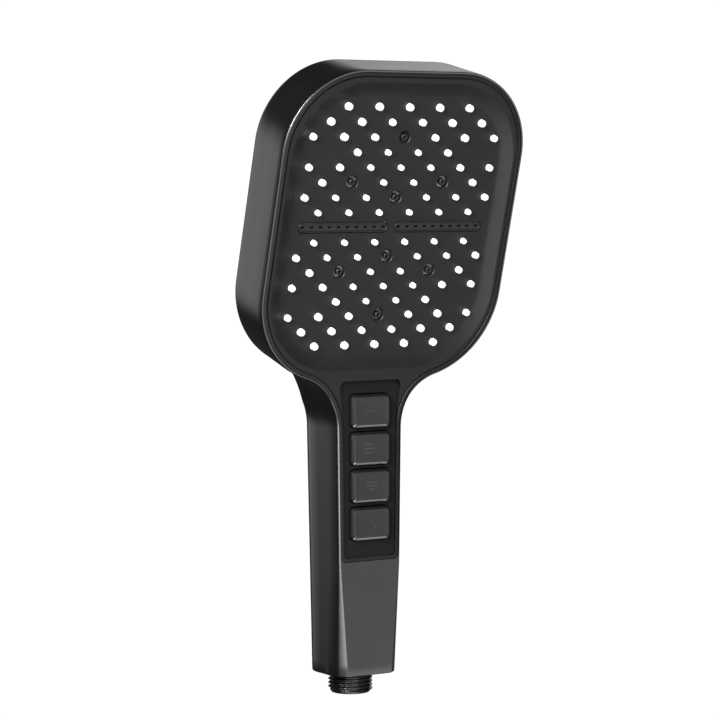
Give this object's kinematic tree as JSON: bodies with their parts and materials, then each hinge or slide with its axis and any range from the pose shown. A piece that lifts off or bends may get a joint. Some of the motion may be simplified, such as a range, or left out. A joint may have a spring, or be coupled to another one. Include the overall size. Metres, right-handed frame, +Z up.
{
  "type": "handheld shower head",
  "caption": "Handheld shower head: tilted square dished spray face, flat-fronted handle with push keys, and a male G1/2 inlet thread.",
  "frame": {"origin": "on the inlet thread's axis, in the plane of the handle's bottom face, where the thread begins", "axes": "+Z along the handle towards the head, -Y the side that the spray face and the keys look to, +X to the right seen from behind the keys with +Z up"},
  "size_m": [0.1312, 0.0743, 0.2964],
  "materials": {
    "gloss_shell": "plated gunmetal black, polished",
    "matte_face": "fine satin black",
    "panel": "satin black",
    "key": "satin dark grey",
    "silicone": "soft white silicone",
    "jet": "black, half gloss",
    "thread": "black plated brass",
    "core_plastic": "natural acetal",
    "cover_plastic": "glass-filled nylon",
    "stem": "acetal",
    "seal": "nitrile rubber",
    "steel": "stainless",
    "regulator": "coloured acetal"
  },
  "bodies": {
    "handset": {"rear_shell": "gloss_shell", "face_plate": "matte_face", "button_panel": "panel", "return_spring_1": "steel", "return_spring_2": "steel", "return_spring_3": "steel", "return_spring_4": "steel", "latch_spring": "steel", "valve_cover": "cover_plastic", "valve_gasket": "seal", "valve_screws": "steel", "valve_block": "core_plastic", "block_screws": "steel", "feed_duct": "core_plastic", "duct_seals": "seal", "nozzle_mat": "silicone", "jet_nozzles": "jet", "blade_insert_left": "jet", "blade_insert_right": "jet", "distributor_plate": "core_plastic", "chamber_gasket": "seal", "chamber_back": "core_plastic", "chamber_screws": "steel", "water_tube": "core_plastic", "tube_seals": "seal", "inlet_nipple": "thread", "flow_regulator": "regulator", "inlet_screen": "steel"},
    "key_1_body": {"key_1": "key", "valve_stem_1": "stem", "stem_seals_1": "seal"},
    "key_2_body": {"key_2": "key", "valve_stem_2": "stem", "stem_seals_2": "seal"},
    "key_3_body": {"key_3": "key", "valve_stem_3": "stem", "stem_seals_3": "seal"},
    "key_4_body": {"key_4": "key", "valve_stem_4": "stem", "stem_seals_4": "seal"},
    "latch_body": {"latch_plate": "steel"}
  },
  "joints": [
    {"name": "key_1_press", "type": "slide", "parent": "handset", "child": "key_1_body", "axis": [0, 1, 0], "range_m": [0, 0.0025], "stiffness_N_per_m": 900, "springref_m": -0.003, "deforming": ["return_spring_1"]},
    {"name": "key_2_press", "type": "slide", "parent": "handset", "child": "key_2_body", "axis": [0, 1, 0], "range_m": [0, 0.0025], "stiffness_N_per_m": 900, "springref_m": -0.003, "deforming": ["return_spring_2"]},
    {"name": "key_3_press", "type": "slide", "parent": "handset", "child": "key_3_body", "axis": [0, 1, 0], "range_m": [0, 0.0025], "stiffness_N_per_m": 900, "springref_m": -0.003, "deforming": ["return_spring_3"]},
    {"name": "key_4_press", "type": "slide", "parent": "handset", "child": "key_4_body", "axis": [0, 1, 0], "range_m": [0, 0.0025], "stiffness_N_per_m": 900, "springref_m": -0.003, "deforming": ["return_spring_4"]},
    {"name": "latch_slide", "type": "slide", "parent": "handset", "child": "latch_body", "axis": [0, 0, 1], "range_m": [0, 0.0012], "stiffness_N_per_m": 400, "springref_m": -0.001, "deforming": ["latch_spring"]}
  ]
}
